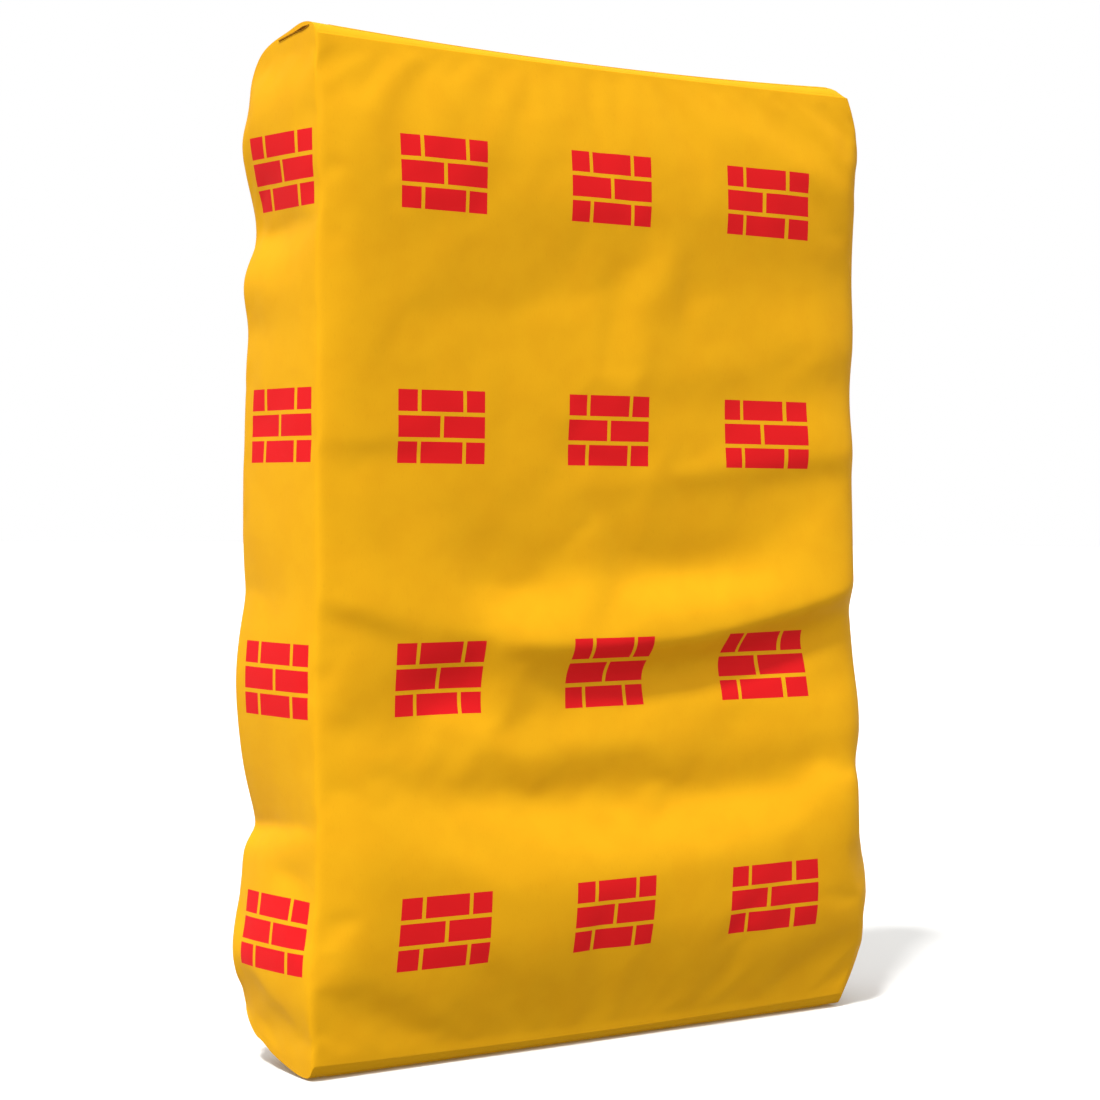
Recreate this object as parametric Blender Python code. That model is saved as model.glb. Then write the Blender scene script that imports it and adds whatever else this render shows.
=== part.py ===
"""A filled paper valve sack of dry grout, standing upright on its folded block end.

The sack is a paper tube whose two ends are folded square and pasted shut under a cover patch each.
Powder fills it through a flat paper sleeve in the top left corner. The front faces -Y, its width
runs along X, and the origin is on the floor under the middle of the sack.
"""

import math
from dataclasses import dataclass

import bmesh
import bpy
from mathutils import Matrix

# Driving dimensions, in metres
WIDTH = 0.402
DEPTH = 0.080
TOP_CREASE = 0.5932
BOTTOM_CREASE = 0.0092
FOLDED_RADIUS = 0.002
LEFT_RADIUS = 0.004
RIGHT_RADIUS = 0.020
RADIUS_REACH = 0.060
SHARP_ANGLE = math.radians(40.0)
PAPER = 0.0004
PATCH_PAPER = 0.0003
GAP = 0.0003

# The tube stands off the middle of the overall box, because its front and its right side swell most
TUBE_X = -0.0091
TUBE_Y = 0.0034

# Where the surface is divided: rows up the sack, and stations across its width and its depth
ROWS = 50
WIDTH_STATIONS = (0.0, 0.050, 0.100, 0.150, 0.172, 0.188, 0.196, WIDTH / 2)
DEPTH_STATIONS = (0.0, 0.005, 0.015, 0.032, 0.047, 0.061, 0.072, DEPTH)

# Height of each end over its front crease, at each depth station from front to back. The bottom has
# none where it rests on the floor.
TOP_RISE = (0.0, 0.0068, 0.0083, 0.0048, 0.0018, -0.0032, -0.0150, -0.0360)
BOTTOM_RISE = (0.0, -0.0078, None, None, None, None, 0.0, 0.0190)
TOP_CREASE_SAG = 0.0016
TOP_CROWN_SAG = 0.0034
BOTTOM_CREASE_SAG = 0.0025

# How far the bottom end lifts off the floor at its left and right ends, at each depth station, and
# how far from the middle that starts
CORNER_LIFT = (0.0, 0.0, 0.0008, 0.0044, 0.0086, 0.0144, 0.0130, 0.0030)
CORNER_START = 0.150

# How far the right end of the top drops towards its crease, at each depth station, and where it starts
TOP_CORNER_DROP = (0.0, 0.0064, 0.0078, 0.0060, 0.0036, 0.0, 0.0, 0.0)
TOP_CORNER_START = 0.193

# The patches over the folded ends, as first and last depth station, and how far along the width
TOP_PATCH_STATIONS = (1, 4)
BOTTOM_PATCH_STATIONS = (1, 5)
PATCH_HALF_LENGTH = 0.188
UNDERSIDE = PATCH_PAPER + GAP

# The swell of each face between its creases, and how it eases towards the upright edges
FRONT_SWELL = 0.006
BACK_SWELL = 0.006
LEFT_SWELL = 0.0008
RIGHT_SWELL = 0.0114
FACE_REACH = 0.070
SIDE_REACH = 0.045
EDGE_REACH = 0.090
LEFT_EASE = 0.55
LEFT_EASE_REACH = 0.040
RIGHT_EASE = 0.55
RIGHT_EASE_REACH = 0.040

# The flattened sleeve of the valve, lying under the top end at its left corner. The slot that it
# passes through reaches to both sides of its mouth.
SLEEVE_WIDTH = 0.034
SLEEVE_THICKNESS = 0.0010
SLEEVE_PAPER = 0.00025
SLEEVE_MOUTH = -0.2028
SLEEVE_END = -0.130
SLEEVE_DEPTH = 0.025
SLEEVE_UNDER_TOP = 0.0040
SLOT_REACH = 0.012
PAST_ENDS = 0.005
SLEEVE_DROP = math.radians(3.2)


@dataclass(frozen=True)
class Fold:
    """A swell (lift above zero) or a valley (below zero) that crosses a face along a bowed line.

    Its flank above the line and its flank below have their own widths, so that a fold can hang over, and
    its tail is the reach towards the left as a share of the reach towards the right.
    """

    across: float
    height: float
    reach: float
    above: float
    below: float
    lift: float
    slope: float = 0.0
    bow: float = 0.0
    crease: float = 0.0
    tail: float = 1.0

    def lift_at(self, across, height):
        along = across - self.across
        line = self.height + self.slope * along + self.bow * along * along
        off = abs(height - line) / (self.above if height > line else self.below)
        profile = (1.0 - self.crease) * math.exp(-(off**2)) + self.crease * math.exp(-off)
        reach = self.reach * (self.tail if along < 0.0 else 1.0)
        return self.lift * profile * math.exp(-(abs(along / reach) ** 3))


# How far the front and the back fall away towards the right edge, by height only
RIGHT_FALL = Fold(0.000, 0.360, 1.000, 0.200, 0.140, 0.0055)

FRONT_FOLDS = (
    # shoulder under the top crease, and the shallow step that ends it
    Fold(0.000, 0.545, 0.250, 0.050, 0.038, 0.0040),
    Fold(0.010, 0.508, 0.190, 0.024, 0.036, 0.0026, crease=0.3),
    Fold(0.200, 0.450, 0.085, 0.070, 0.100, -0.0070),
    Fold(-0.065, 0.486, 0.045, 0.036, 0.036, -0.0014),
    # left flank, which stays full from shoulder to belly
    Fold(-0.150, 0.400, 0.060, 0.130, 0.130, 0.0024),
    Fold(-0.148, 0.366, 0.040, 0.060, 0.024, -0.0020),
    Fold(-0.165, 0.364, 0.050, 0.018, 0.005, 0.0012, crease=0.3),
    # bumps and dents of the upper half
    Fold(0.036, 0.459, 0.022, 0.026, 0.032, 0.0038, slope=0.5),
    Fold(0.080, 0.412, 0.130, 0.030, 0.020, 0.0050, slope=0.16, bow=0.40),
    Fold(0.118, 0.356, 0.130, 0.026, 0.013, 0.0042, slope=0.12, crease=0.2),
    Fold(0.045, 0.287, 0.095, 0.023, 0.017, -0.0070, tail=0.55),
    Fold(-0.060, 0.276, 0.046, 0.040, 0.026, -0.0076),
    # the great fold that hangs over across the lower middle, rising to the right
    Fold(0.080, 0.249, 0.160, 0.040, 0.010, 0.0112, slope=0.15, bow=0.95, crease=0.4, tail=1.02),
    Fold(0.090, 0.230, 0.130, 0.010, 0.014, -0.0030, slope=0.15, bow=0.95),
    Fold(-0.074, 0.246, 0.060, 0.034, 0.022, 0.0044),
    Fold(-0.112, 0.220, 0.030, 0.024, 0.022, -0.0052),
    Fold(-0.180, 0.270, 0.045, 0.022, 0.008, 0.0026, slope=-0.30),
    # roll between that fold and the belly
    Fold(0.040, 0.178, 0.190, 0.018, 0.024, 0.0032),
    Fold(0.160, 0.196, 0.055, 0.018, 0.045, 0.0030),
    Fold(0.030, 0.150, 0.170, 0.014, 0.014, -0.0024, bow=0.35),
    # belly over the bottom end
    Fold(0.015, 0.101, 0.240, 0.034, 0.062, 0.0130, bow=0.38, tail=0.82),
    Fold(-0.155, 0.134, 0.055, 0.030, 0.026, 0.0026, slope=-0.14),
    Fold(0.184, 0.146, 0.044, 0.016, 0.028, 0.0070),
    Fold(0.010, 0.064, 0.045, 0.030, 0.034, -0.0018),
    Fold(0.060, 0.044, 0.190, 0.030, 0.026, 0.0032),
)

BACK_FOLDS = (
    Fold(0.020, 0.500, 0.170, 0.036, 0.040, 0.0030),
    Fold(-0.050, 0.432, 0.120, 0.016, 0.022, -0.0030, slope=0.10),
    Fold(0.040, 0.300, 0.160, 0.040, 0.018, 0.0040, slope=-0.08),
    Fold(0.020, 0.236, 0.150, 0.016, 0.024, -0.0046, slope=-0.08),
    Fold(0.000, 0.110, 0.210, 0.044, 0.052, 0.0060),
)

# On a side face, across is the depth from the middle of the sack
LEFT_FOLDS = (
    # they fade towards the straight front edge
    Fold(0.040, 0.550, 0.060, 0.030, 0.044, 0.0036),
    # notch under the top, drawn in by the folded ear above it
    Fold(0.040, 0.486, 0.058, 0.034, 0.018, -0.0078, slope=-0.10),
    Fold(0.040, 0.455, 0.058, 0.016, 0.020, 0.0018),
    Fold(0.040, 0.432, 0.058, 0.016, 0.020, -0.0024),
    Fold(0.040, 0.314, 0.058, 0.040, 0.020, 0.0022),
    Fold(0.040, 0.275, 0.058, 0.012, 0.014, -0.0014),
    Fold(0.040, 0.224, 0.064, 0.040, 0.050, 0.0056),
    # pinch between that swell and the belly
    Fold(0.040, 0.138, 0.056, 0.026, 0.009, -0.0086, slope=-0.10, crease=0.5),
    Fold(0.030, 0.062, 0.080, 0.036, 0.038, 0.0068),
)

RIGHT_FOLDS = (
    Fold(0.000, 0.545, 0.060, 0.050, 0.050, 0.0020),
    Fold(0.000, 0.444, 0.060, 0.080, 0.080, 0.0094),
    Fold(0.000, 0.336, 0.060, 0.050, 0.050, 0.0056),
    Fold(-0.010, 0.256, 0.060, 0.014, 0.016, 0.0012),
    Fold(0.000, 0.190, 0.060, 0.050, 0.040, 0.0096),
    Fold(0.000, 0.066, 0.070, 0.052, 0.052, 0.0144),
)


def sack_stations():
    """Stations across the whole width, from the left crease to the right one."""
    right = WIDTH_STATIONS[1:]
    return [-x for x in reversed(right)] + [0.0] + list(right)


def rising(place, start, end):
    """A smooth step from 0 at the start to 1 at the end."""
    t = max(0.0, min(1.0, (place - start) / (end - start)))
    return t * t * (3.0 - 2.0 * t)


def from_end(share):
    """Distance from the nearer end crease at a share of the height."""
    return min(share, 1.0 - share) * (TOP_CREASE - BOTTOM_CREASE)


def corner_radius(x):
    """Radius of the nearer upright edges, away from the folded ends."""
    return LEFT_RADIUS if x < 0.0 else RIGHT_RADIUS


def rounded(x, y, share):
    """Moves a point of the square outline, or inside it, to the outline with rounded corners.

    The corners are sharp at the folded ends and round between them.
    """
    corner = FOLDED_RADIUS + (corner_radius(x) - FOLDED_RADIUS) * rising(from_end(share), 0.0, RADIUS_REACH)
    half_width, half_depth = WIDTH / 2 - corner, DEPTH / 2 - corner
    centre_x = max(-half_width, min(half_width, x))
    centre_y = max(-half_depth, min(half_depth, y))
    out_x, out_y = x - centre_x, y - centre_y
    length = math.hypot(out_x, out_y)
    if length == 0.0:
        return x, y
    radius = max(abs(out_x), abs(out_y))
    return centre_x + out_x / length * radius, centre_y + out_y / length * radius


def end_heights(x, station):
    """Heights of the bottom end and of the top end, at a place across and a depth station."""
    middle = 1.0 - (x / (WIDTH / 2)) ** 2
    sag = TOP_CREASE_SAG + (TOP_CROWN_SAG if station else 0.0)
    to_top_corner = max(0.0, (x - TOP_CORNER_START) / (WIDTH / 2 - TOP_CORNER_START))
    top = TOP_CREASE + TOP_RISE[station] - TOP_CORNER_DROP[station] * to_top_corner - sag * middle
    to_corner = max(0.0, (abs(x) - CORNER_START) / (WIDTH / 2 - CORNER_START))
    lift = CORNER_LIFT[station] * to_corner**2
    if BOTTOM_RISE[station] is None:
        return UNDERSIDE + lift, top
    bottom_sag = 0.0 if station else BOTTOM_CREASE_SAG * middle
    return BOTTOM_CREASE + BOTTOM_RISE[station] + lift - bottom_sag, top


def swelled(x, y, height, share):
    """Moves a point of the outline out by the swell and the folds of the faces that it lies on or near."""
    front = FRONT_SWELL + sum(fold.lift_at(x, height) for fold in FRONT_FOLDS)
    back = BACK_SWELL + sum(fold.lift_at(x, height) for fold in BACK_FOLDS)
    left = LEFT_SWELL + sum(fold.lift_at(y, height) for fold in LEFT_FOLDS)
    right = RIGHT_SWELL + sum(fold.lift_at(y, height) for fold in RIGHT_FOLDS)
    to_side = rising(abs(x), WIDTH / 2 - EDGE_REACH, WIDTH / 2 - corner_radius(x))
    to_face = rising(abs(y), 0.0, DEPTH / 2 - corner_radius(x))
    near_left = max(0.0, 1.0 - (WIDTH / 2 + x) / LEFT_EASE_REACH)
    near_right = max(0.0, 1.0 - (WIDTH / 2 - x) / RIGHT_EASE_REACH)
    ease = 1.0 - LEFT_EASE * near_left**2 - RIGHT_EASE * near_right**2
    fall = RIGHT_FALL.lift_at(0.0, height) * near_right**2
    side_fade = math.sin(math.pi / 2 * min(1.0, from_end(share) / SIDE_REACH))
    face_fade = math.sin(math.pi / 2 * min(1.0, from_end(share) / FACE_REACH))
    across = (-left if x < 0.0 else right) * to_side * side_fade
    deep = (fall - front * ease if y < 0.0 else back * ease - fall) * to_face * face_fade
    return x + across, y + deep


def outline_places():
    """Each place around the outline, counter-clockwise from the front left, as station numbers."""
    last_x, last_y = len(sack_stations()) - 1, len(DEPTH_STATIONS) - 1
    front = [(i, 0) for i in range(last_x)]
    right = [(last_x, j) for j in range(last_y)]
    back = [(i, last_y) for i in range(last_x, 0, -1)]
    left = [(0, j) for j in range(last_y, 0, -1)]
    return front + right + back + left


def place_on_plan(i, j, share=0.0):
    """Station numbers to a point of the rounded plan, at a share of the height."""
    return rounded(sack_stations()[i], DEPTH_STATIONS[j] - DEPTH / 2, share)


def sack_surface():
    """The closed outer surface of the filled sack, as a new bmesh."""
    surface = bmesh.new()
    places = outline_places()
    rings = []
    for row in range(ROWS + 1):
        share = row / ROWS
        ring = []
        for i, j in places:
            x, y = place_on_plan(i, j, share)
            bottom, top = end_heights(sack_stations()[i], j)
            height = bottom + (top - bottom) * share
            across, deep = swelled(x, y, height, share)
            ring.append(surface.verts.new((across, deep, height)))
        rings.append(ring)
    for low, high in zip(rings, rings[1:]):
        for k in range(len(places)):
            following = (k + 1) % len(places)
            surface.faces.new((low[k], low[following], high[following], high[k]))
    close_end(surface, dict(zip(places, rings[0])), at_top=False)
    close_end(surface, dict(zip(places, rings[-1])), at_top=True)
    bmesh.ops.recalc_face_normals(surface, faces=surface.faces)
    return surface


def close_end(surface, verts, at_top):
    """Fills one end with a grid of faces between the stations, on the ring that bounds it."""
    last_x, last_y = len(sack_stations()) - 1, len(DEPTH_STATIONS) - 1
    for i in range(1, last_x):
        for j in range(1, last_y):
            x, y = place_on_plan(i, j)
            verts[i, j] = surface.verts.new((x, y, end_heights(sack_stations()[i], j)[at_top]))
    for i in range(last_x):
        for j in range(last_y):
            corners = ((i, j), (i + 1, j), (i + 1, j + 1), (i, j + 1))
            surface.faces.new([verts[corner] for corner in corners])


def set_in(surface, distance):
    """Moves every point in by the distance, so that each face ends up that far behind its old place."""
    surface.normal_update()
    moves = [vert.normal * (-distance * vert.calc_shell_factor()) for vert in surface.verts]
    for vert, move in zip(surface.verts, moves):
        vert.co += move


def patch_surface(stations, at_top):
    """A strip of paper lying over one folded end, a gap above it, as a closed bmesh."""
    strip = bmesh.new()
    side = 1.0 if at_top else -1.0
    first, last = stations
    columns = [i for i, x in enumerate(sack_stations()) if abs(x) <= PATCH_HALF_LENGTH]
    layers = []
    for offset in (GAP, GAP + PATCH_PAPER):
        layer = {}
        for i in columns:
            for j in range(first, last + 1):
                x, y = place_on_plan(i, j)
                height = end_heights(sack_stations()[i], j)[at_top]
                layer[i, j] = strip.verts.new((x, y, height + side * offset))
        layers.append(layer)
    for layer in layers:
        for i in columns[:-1]:
            for j in range(first, last):
                corners = ((i, j), (i + 1, j), (i + 1, j + 1), (i, j + 1))
                strip.faces.new([layer[corner] for corner in corners])
    close_rim(strip, layers, columns, first, last)
    bmesh.ops.recalc_face_normals(strip, faces=strip.faces)
    return strip


def close_rim(strip, layers, columns, first, last):
    """Joins the two layers of a patch along their four edges."""
    near, far = layers
    runs = [
        [(i, first) for i in columns],
        [(i, last) for i in columns],
        [(columns[0], j) for j in range(first, last + 1)],
        [(columns[-1], j) for j in range(first, last + 1)],
    ]
    for run in runs:
        for start, end in zip(run, run[1:]):
            strip.faces.new((near[start], near[end], far[end], far[start]))


def top_rise_at(depth):
    """Height of the top end over its front crease, at a depth between the stations."""
    steps = list(zip(DEPTH_STATIONS, TOP_RISE))
    for (start, low), (end, high) in zip(steps, steps[1:]):
        if depth <= end:
            return low + (high - low) * (depth - start) / (end - start)
    return TOP_RISE[-1]


def sleeve_frame():
    """The sleeve's own axes: along the width, its two long edges equally far under the top end."""
    near = top_rise_at(SLEEVE_DEPTH - SLEEVE_WIDTH / 2)
    far = top_rise_at(SLEEVE_DEPTH + SLEEVE_WIDTH / 2)
    tilt = math.atan2(far - near, SLEEVE_WIDTH)
    across = (SLEEVE_MOUTH + SLEEVE_END) / 2
    centre = (across, SLEEVE_DEPTH - DEPTH / 2, TOP_CREASE + (near + far) / 2 - SLEEVE_UNDER_TOP)
    return Matrix.Translation(centre) @ Matrix.Rotation(SLEEVE_DROP, 4, "Y") @ Matrix.Rotation(tilt, 4, "X")


def sleeve_block(name, start, end, clearance):
    """A flat block in the sleeve's frame, from one place across to another, grown by a clearance."""
    length = end - start
    shape = bmesh.new()
    bmesh.ops.create_cube(shape, size=1.0)
    size = (length, SLEEVE_WIDTH + 2 * clearance, SLEEVE_THICKNESS + 2 * clearance)
    bmesh.ops.scale(shape, vec=size, verts=shape.verts)
    shift = (start + end - SLEEVE_MOUTH - SLEEVE_END) / 2
    bmesh.ops.translate(shape, vec=(shift, 0.0, 0.0), verts=shape.verts)
    shape.transform(sleeve_frame())
    return add_object(name, shape)


def add_object(name, shape, material=None):
    """Stands a bmesh in its place and turns it into a named object, smooth where it is round."""
    bmesh.ops.translate(shape, vec=(TUBE_X, TUBE_Y, 0.0), verts=shape.verts)
    mesh = bpy.data.meshes.new(name)
    shape.to_mesh(mesh)
    shape.free()
    mesh.shade_smooth()
    mesh.set_sharp_from_angle(angle=SHARP_ANGLE)
    made = bpy.data.objects.new(name, mesh)
    bpy.context.scene.collection.objects.link(made)
    if material:
        mesh.materials.append(material)
    return made


def cut(target, cutter):
    """Takes the cutter's shape out of the target, and keeps the cutter as a guide."""
    cutter.hide_render = True
    cutter.display_type = "WIRE"
    boolean = target.modifiers.new("cut_" + cutter.name, "BOOLEAN")
    boolean.operation = "DIFFERENCE"
    boolean.solver = "EXACT"
    boolean.object = cutter


def make_material(name, colour, roughness):
    """A Principled material with one colour, given in linear values."""
    material = bpy.data.materials.new(name)
    material.use_nodes = True
    shader = material.node_tree.nodes["Principled BSDF"]
    shader.inputs["Base Color"].default_value = (*colour, 1.0)
    shader.inputs["Roughness"].default_value = roughness
    shader.inputs["Metallic"].default_value = 0.0
    return material


def clear_scene():
    for existing in list(bpy.data.objects):
        bpy.data.objects.remove(existing, do_unlink=True)


def add_paper_sack(material):
    """The sack's paper wall, closed but for the slot that the valve sleeve passes through."""
    wall = sack_surface()
    inner = sack_surface()
    set_in(inner, PAPER)
    bmesh.ops.reverse_faces(inner, faces=inner.faces)
    inner_mesh = bpy.data.meshes.new("inner_face")
    inner.to_mesh(inner_mesh)
    inner.free()
    wall.from_mesh(inner_mesh)
    bpy.data.meshes.remove(inner_mesh)
    sack = add_object("paper_sack", wall, material)
    slot = sleeve_block("valve_slot", SLEEVE_MOUTH - SLOT_REACH, SLEEVE_MOUTH + SLOT_REACH, GAP)
    cut(sack, slot)


def add_grout_fill(material):
    """The powder that fills the sack, with a recess where the valve sleeve reaches in."""
    fill = sack_surface()
    set_in(fill, PAPER + GAP)
    powder = add_object("grout_fill", fill, material)
    recess = sleeve_block("sleeve_recess", SLEEVE_MOUTH, SLEEVE_END + GAP, GAP)
    cut(powder, recess)


def add_valve_sleeve(material):
    """The flattened paper tube of the valve, open at both ends."""
    sleeve = sleeve_block("valve_sleeve", SLEEVE_MOUTH, SLEEVE_END, 0.0)
    sleeve.data.materials.append(material)
    bore = sleeve_block("sleeve_bore", SLEEVE_MOUTH - PAST_ENDS, SLEEVE_END + PAST_ENDS, -SLEEVE_PAPER)
    cut(sleeve, bore)


def build():
    clear_scene()
    printed_paper = make_material("printed_yellow_kraft_paper", (0.83, 0.40, 0.013), 0.55)
    patch_paper = make_material("yellow_kraft_patch", (0.90, 0.45, 0.015), 0.60)
    dyed_paper = make_material("dyed_kraft_paper", (0.58, 0.26, 0.013), 0.75)
    powder = make_material("grey_grout_powder", (0.42, 0.41, 0.39), 0.95)
    add_paper_sack(printed_paper)
    add_grout_fill(powder)
    add_valve_sleeve(dyed_paper)
    add_object("top_cover_patch", patch_surface(TOP_PATCH_STATIONS, at_top=True), patch_paper)
    add_object("bottom_cover_patch", patch_surface(BOTTOM_PATCH_STATIONS, at_top=False), patch_paper)


build()
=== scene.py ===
"""Looks of a filled paper valve sack of grout, standing upright on its folded block end.

The sack is one lofted paper shell, crossed by folds, let out by a short cloth simulation and then made
finer. Strips of paper are laid on its ends by one Geometry Nodes tree, a sleeve of dyed kraft fills its
valve, and the powder lies inside.
"""

import logging
import math
from dataclasses import dataclass, field
from enum import Enum
from typing import NamedTuple

import bmesh
import bpy
import numpy as np
from mathutils import Matrix, Vector


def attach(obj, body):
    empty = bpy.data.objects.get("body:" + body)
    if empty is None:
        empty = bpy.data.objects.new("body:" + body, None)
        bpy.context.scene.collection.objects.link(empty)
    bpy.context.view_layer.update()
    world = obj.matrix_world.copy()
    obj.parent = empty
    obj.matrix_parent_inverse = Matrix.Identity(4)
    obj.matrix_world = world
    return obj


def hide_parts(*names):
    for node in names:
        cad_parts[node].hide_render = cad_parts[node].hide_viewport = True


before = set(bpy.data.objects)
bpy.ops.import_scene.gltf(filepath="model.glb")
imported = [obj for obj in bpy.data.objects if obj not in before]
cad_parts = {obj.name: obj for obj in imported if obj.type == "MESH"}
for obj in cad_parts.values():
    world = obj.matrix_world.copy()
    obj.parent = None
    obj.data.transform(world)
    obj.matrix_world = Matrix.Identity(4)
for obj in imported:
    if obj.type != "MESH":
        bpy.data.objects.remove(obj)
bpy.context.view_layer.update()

LOG = logging.getLogger("grout_sack")
MM = 0.001
BODY = "root"
PAPER_MAP = "flat_paper"
SHARP_ANGLE = math.radians(50.0)
TINY = 1e-9
Array = np.ndarray
Socket = bpy.types.NodeSocket
Tree = bpy.types.NodeTree


def linear(code: str) -> tuple[float, float, float, float]:
    """Turns an sRGB hex colour into linear values.

    Args:
        code: A hash and six hex digits.

    Returns:
        Linear red, green and blue, and a full alpha.
    """
    shares = [int(code[i : i + 2], 16) / 255 for i in (1, 3, 5)]
    red, green, blue = (c / 12.92 if c <= 0.04045 else ((c + 0.055) / 1.055) ** 2.4 for c in shares)
    return red, green, blue, 1.0


def add_node(tree: Tree, kind: str, settings: dict | None = None,
             inputs: dict | None = None) -> bpy.types.Node:
    """Adds one node to a tree, with its settings, and its inputs set or linked.

    Args:
        tree: The node tree that gets the node.
        kind: The node's type name in Blender.
        settings: Attributes of the node and their values.
        inputs: Input name or number, to a value or to the output socket that feeds it.

    Returns:
        The new node.
    """
    node = tree.nodes.new(kind)
    for name, value in (settings or {}).items():
        setattr(node, name, value)
    for key, value in (inputs or {}).items():
        if isinstance(value, Socket):
            tree.links.new(value, node.inputs[key])
        else:
            node.inputs[key].default_value = value
    return node


def work_out(tree: Tree, known: dict[str, object], steps: tuple[tuple, ...]) -> dict[str, object]:
    """Adds the nodes of a calculation, step by step.

    Args:
        tree: The node tree that the calculation is added to.
        known: Sockets and numbers that the steps may use, by name.
        steps: Each step's own name, its operation, and what it works on: names, or plain numbers.

    Returns:
        What was known and the result of every step, by name.
    """
    found = dict(known)
    for name, operation, *parts in steps:
        given = {i: found[part] if isinstance(part, str) else part for i, part in enumerate(parts)}
        if operation == "SMOOTHSTEP":
            node = add_node(tree, "ShaderNodeMapRange", {"interpolation_type": operation}, given)
        else:
            node = add_node(tree, "ShaderNodeMath", {"operation": operation}, given)
        found[name] = node.outputs[0]
    return found


def paper_place(tree: Tree) -> dict[str, Socket]:
    """Where each place of the paper lies when it is flat.

    Args:
        tree: The paper's node tree.

    Returns:
        A socket for how far round the sack it lies, "across", and one for its "height".
    """
    place = add_node(tree, "ShaderNodeUVMap", {"uv_map": PAPER_MAP}).outputs["UV"]
    parts = add_node(tree, "ShaderNodeSeparateXYZ", inputs={"Vector": place}).outputs
    return {"across": parts["X"], "height": parts["Y"]}


def layered(tree: Tree, ground: str, layers: tuple[tuple[Socket, str], ...]) -> Socket:
    """Lays colours over a ground, one after another.

    Args:
        tree: The node tree of the material.
        ground: The ground's sRGB hex colour.
        layers: Where each layer covers what is under it, as a share, and the layer's sRGB hex colour.

    Returns:
        The socket with the colour that shows.
    """
    colour = linear(ground)
    for share, code in layers:
        # inputs 6 and 7 and output 2 are the node's colours; those before them are plain numbers and vectors
        colour = add_node(tree, "ShaderNodeMix", {"data_type": "RGBA"}, {
            "Factor": share, 6: colour, 7: linear(code)}).outputs[2]
    return colour


class Face(Enum):
    """The four upright faces of the sack, named as the front of it is seen."""

    FRONT = "front"
    BACK = "back"
    LEFT = "left"
    RIGHT = "right"


class End(Enum):
    """The two folded block ends of the sack."""

    BOTTOM = 0
    TOP = 1


@dataclass(frozen=True)
class Fold:
    """A swell (lift above zero) or a valley (below zero) that crosses a face along a bowed line.

    Its flank above the line and its flank below have their own widths, so that a fold can hang over, and
    its tail is the reach towards the left as a share of the reach towards the right. On a side face,
    across is the depth from the middle of the sack.
    """

    across: float
    height: float
    reach: float
    above: float
    below: float
    lift: float
    slope: float = 0.0
    bow: float = 0.0
    crease: float = 0.0
    tail: float = 1.0

    def lift_at(self, across: Array, height: Array) -> Array:
        """How far the fold lifts the paper.

        Args:
            across: Places across the face, in metres.
            height: Heights of the same places, in metres.

        Returns:
            The lift at each place, in metres.
        """
        along = across - self.across
        line = self.height + self.slope * along + self.bow * along * along
        flank = np.where(height > line, self.above, self.below)
        off = np.abs(height - line) / flank
        profile = (1.0 - self.crease) * np.exp(-(off**2)) + self.crease * np.exp(-off)
        reach = np.where(along < 0.0, self.reach * self.tail, self.reach)
        return self.lift * profile * np.exp(-np.abs(along / reach) ** 3)


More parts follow.
